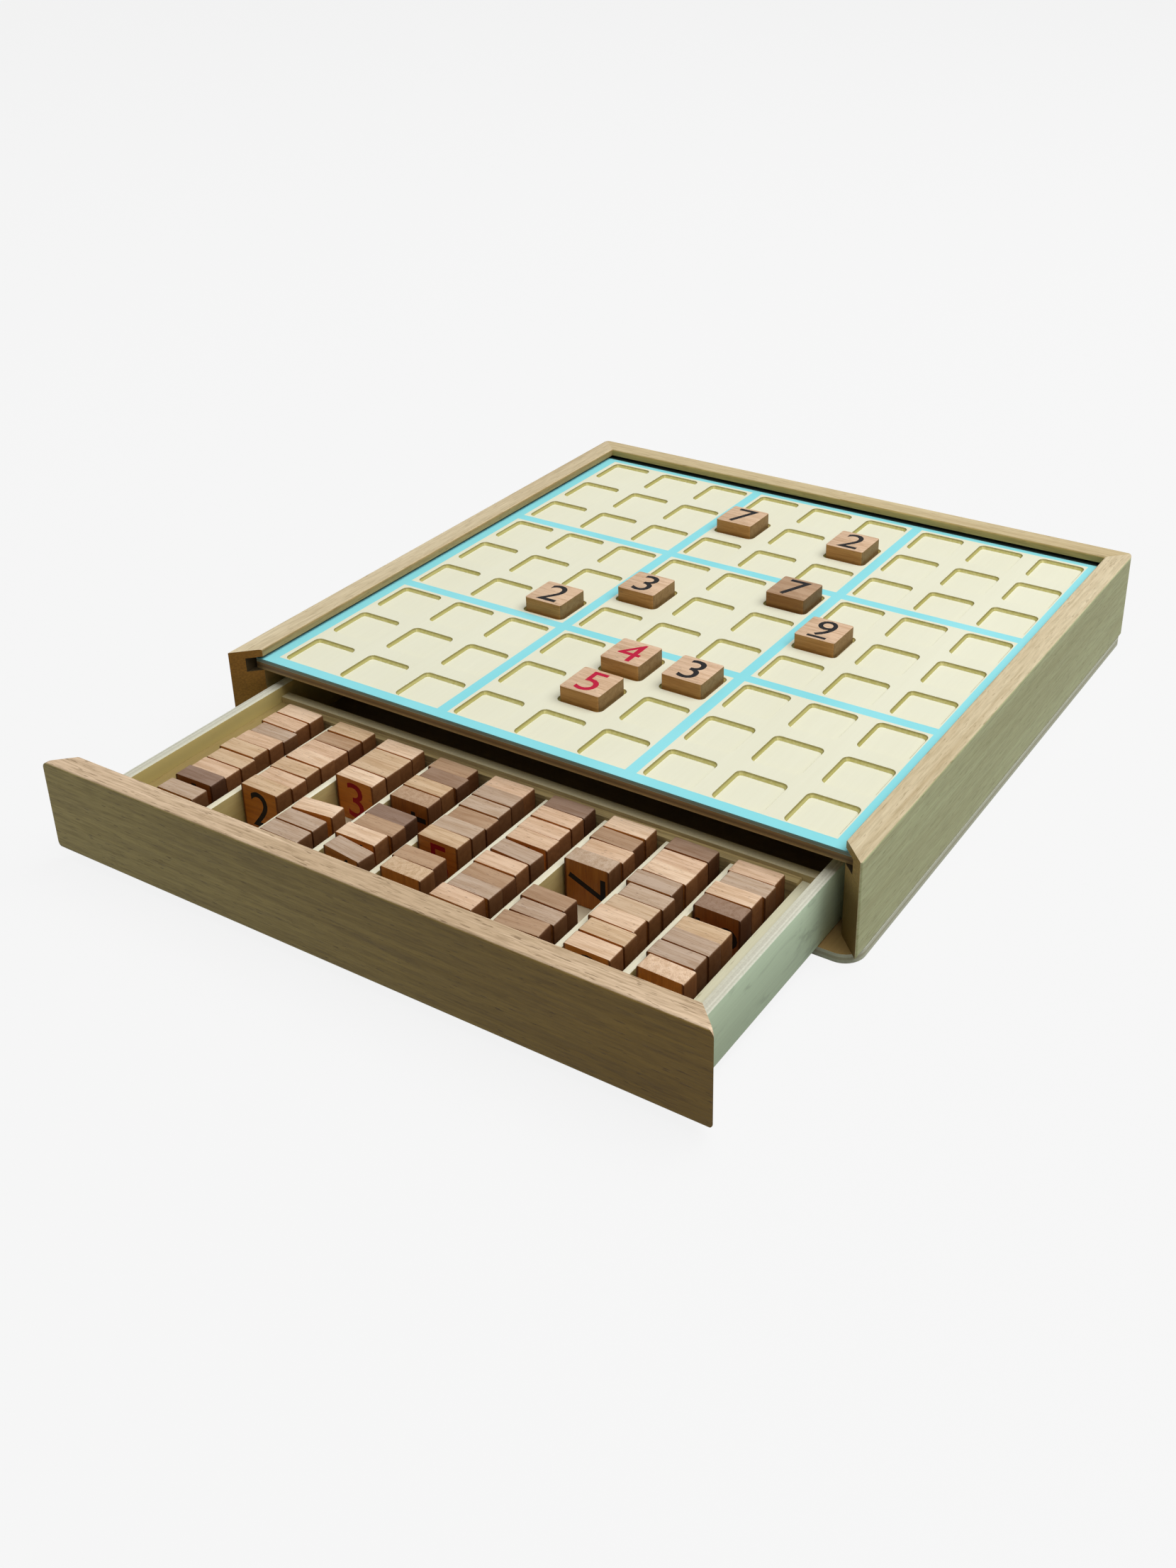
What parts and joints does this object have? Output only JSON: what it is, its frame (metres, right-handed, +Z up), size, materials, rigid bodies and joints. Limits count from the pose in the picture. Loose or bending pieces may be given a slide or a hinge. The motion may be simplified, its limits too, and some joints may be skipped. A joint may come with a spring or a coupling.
{
  "type": "wooden sudoku board with drawer",
  "caption": "Wooden sudoku board: a mitred tray with a recessed grid panel, loose number tiles, and a front drawer whose narrow compartments hold the spare tiles on edge.",
  "frame": {"origin": "centre of the base plate's underside", "axes": "+Z up, -Y towards the drawer front, +X to the right seen from the drawer"},
  "size_m": [0.24, 0.319, 0.0376],
  "materials": {
    "rail_wood": "satin",
    "plywood": "matte",
    "painted_panel": "satin",
    "pale_strip": "matte",
    "tile_wood": "matte"
  },
  "bodies": {
    "box": {"base_plate": "plywood", "left_rail": "rail_wood", "right_rail": "rail_wood", "back_rail": "rail_wood", "board_panel": "painted_panel"},
    "drawer": {"drawer_front": "rail_wood", "drawer_left_side": "plywood", "drawer_right_side": "plywood", "drawer_rear_wall": "plywood", "drawer_bottom": "plywood", "partition": "plywood", "back_strip": "pale_strip", "left_spacer": "pale_strip", "right_spacer": "pale_strip", "divider_1": "pale_strip", "divider_2": "pale_strip", "divider_3": "pale_strip", "divider_4": "pale_strip", "divider_5": "pale_strip", "divider_6": "pale_strip", "divider_7": "pale_strip", "divider_8": "pale_strip"},
    "stored_ones": {"stored_ones": "tile_wood"},
    "stored_twos": {"stored_twos": "tile_wood"},
    "stored_threes": {"stored_threes": "tile_wood"},
    "stored_fours": {"stored_fours": "tile_wood"},
    "stored_fives": {"stored_fives": "tile_wood"},
    "stored_sixes": {"stored_sixes": "tile_wood"},
    "stored_sevens": {"stored_sevens": "tile_wood"},
    "stored_eights": {"stored_eights": "tile_wood"},
    "stored_nines": {"stored_nines": "tile_wood"},
    "board_tile_1": {"board_tile_1": "tile_wood"},
    "board_tile_2": {"board_tile_2": "tile_wood"},
    "board_tile_3": {"board_tile_3": "tile_wood"},
    "board_tile_4": {"board_tile_4": "tile_wood"},
    "board_tile_5": {"board_tile_5": "tile_wood"},
    "board_tile_6": {"board_tile_6": "tile_wood"},
    "board_tile_7": {"board_tile_7": "tile_wood"},
    "board_tile_8": {"board_tile_8": "tile_wood"},
    "board_tile_9": {"board_tile_9": "tile_wood"}
  },
  "joints": [
    {"name": "drawer_slide", "type": "slide", "parent": "box", "child": "drawer", "axis": [0, -1, 0], "range_m": [-0.08, 0.06]},
    {"name": "stored_ones_lift", "type": "slide", "parent": "drawer", "child": "stored_ones", "axis": [0, 0, 1], "range_m": [0, 0.03]},
    {"name": "stored_twos_lift", "type": "slide", "parent": "drawer", "child": "stored_twos", "axis": [0, 0, 1], "range_m": [0, 0.03]},
    {"name": "stored_threes_lift", "type": "slide", "parent": "drawer", "child": "stored_threes", "axis": [0, 0, 1], "range_m": [0, 0.03]},
    {"name": "stored_fours_lift", "type": "slide", "parent": "drawer", "child": "stored_fours", "axis": [0, 0, 1], "range_m": [0, 0.03]},
    {"name": "stored_fives_lift", "type": "slide", "parent": "drawer", "child": "stored_fives", "axis": [0, 0, 1], "range_m": [0, 0.03]},
    {"name": "stored_sixes_lift", "type": "slide", "parent": "drawer", "child": "stored_sixes", "axis": [0, 0, 1], "range_m": [0, 0.03]},
    {"name": "stored_sevens_lift", "type": "slide", "parent": "drawer", "child": "stored_sevens", "axis": [0, 0, 1], "range_m": [0, 0.03]},
    {"name": "stored_eights_lift", "type": "slide", "parent": "drawer", "child": "stored_eights", "axis": [0, 0, 1], "range_m": [0, 0.03]},
    {"name": "stored_nines_lift", "type": "slide", "parent": "drawer", "child": "stored_nines", "axis": [0, 0, 1], "range_m": [0, 0.03]},
    {"name": "board_tile_1_lift", "type": "slide", "parent": "box", "child": "board_tile_1", "axis": [0, 0, 1], "range_m": [0, 0.02]},
    {"name": "board_tile_2_lift", "type": "slide", "parent": "box", "child": "board_tile_2", "axis": [0, 0, 1], "range_m": [0, 0.02]},
    {"name": "board_tile_3_lift", "type": "slide", "parent": "box", "child": "board_tile_3", "axis": [0, 0, 1], "range_m": [0, 0.02]},
    {"name": "board_tile_4_lift", "type": "slide", "parent": "box", "child": "board_tile_4", "axis": [0, 0, 1], "range_m": [0, 0.02]},
    {"name": "board_tile_5_lift", "type": "slide", "parent": "box", "child": "board_tile_5", "axis": [0, 0, 1], "range_m": [0, 0.02]},
    {"name": "board_tile_6_lift", "type": "slide", "parent": "box", "child": "board_tile_6", "axis": [0, 0, 1], "range_m": [0, 0.02]},
    {"name": "board_tile_7_lift", "type": "slide", "parent": "box", "child": "board_tile_7", "axis": [0, 0, 1], "range_m": [0, 0.02]},
    {"name": "board_tile_8_lift", "type": "slide", "parent": "box", "child": "board_tile_8", "axis": [0, 0, 1], "range_m": [0, 0.02]},
    {"name": "board_tile_9_lift", "type": "slide", "parent": "box", "child": "board_tile_9", "axis": [0, 0, 1], "range_m": [0, 0.02]}
  ]
}
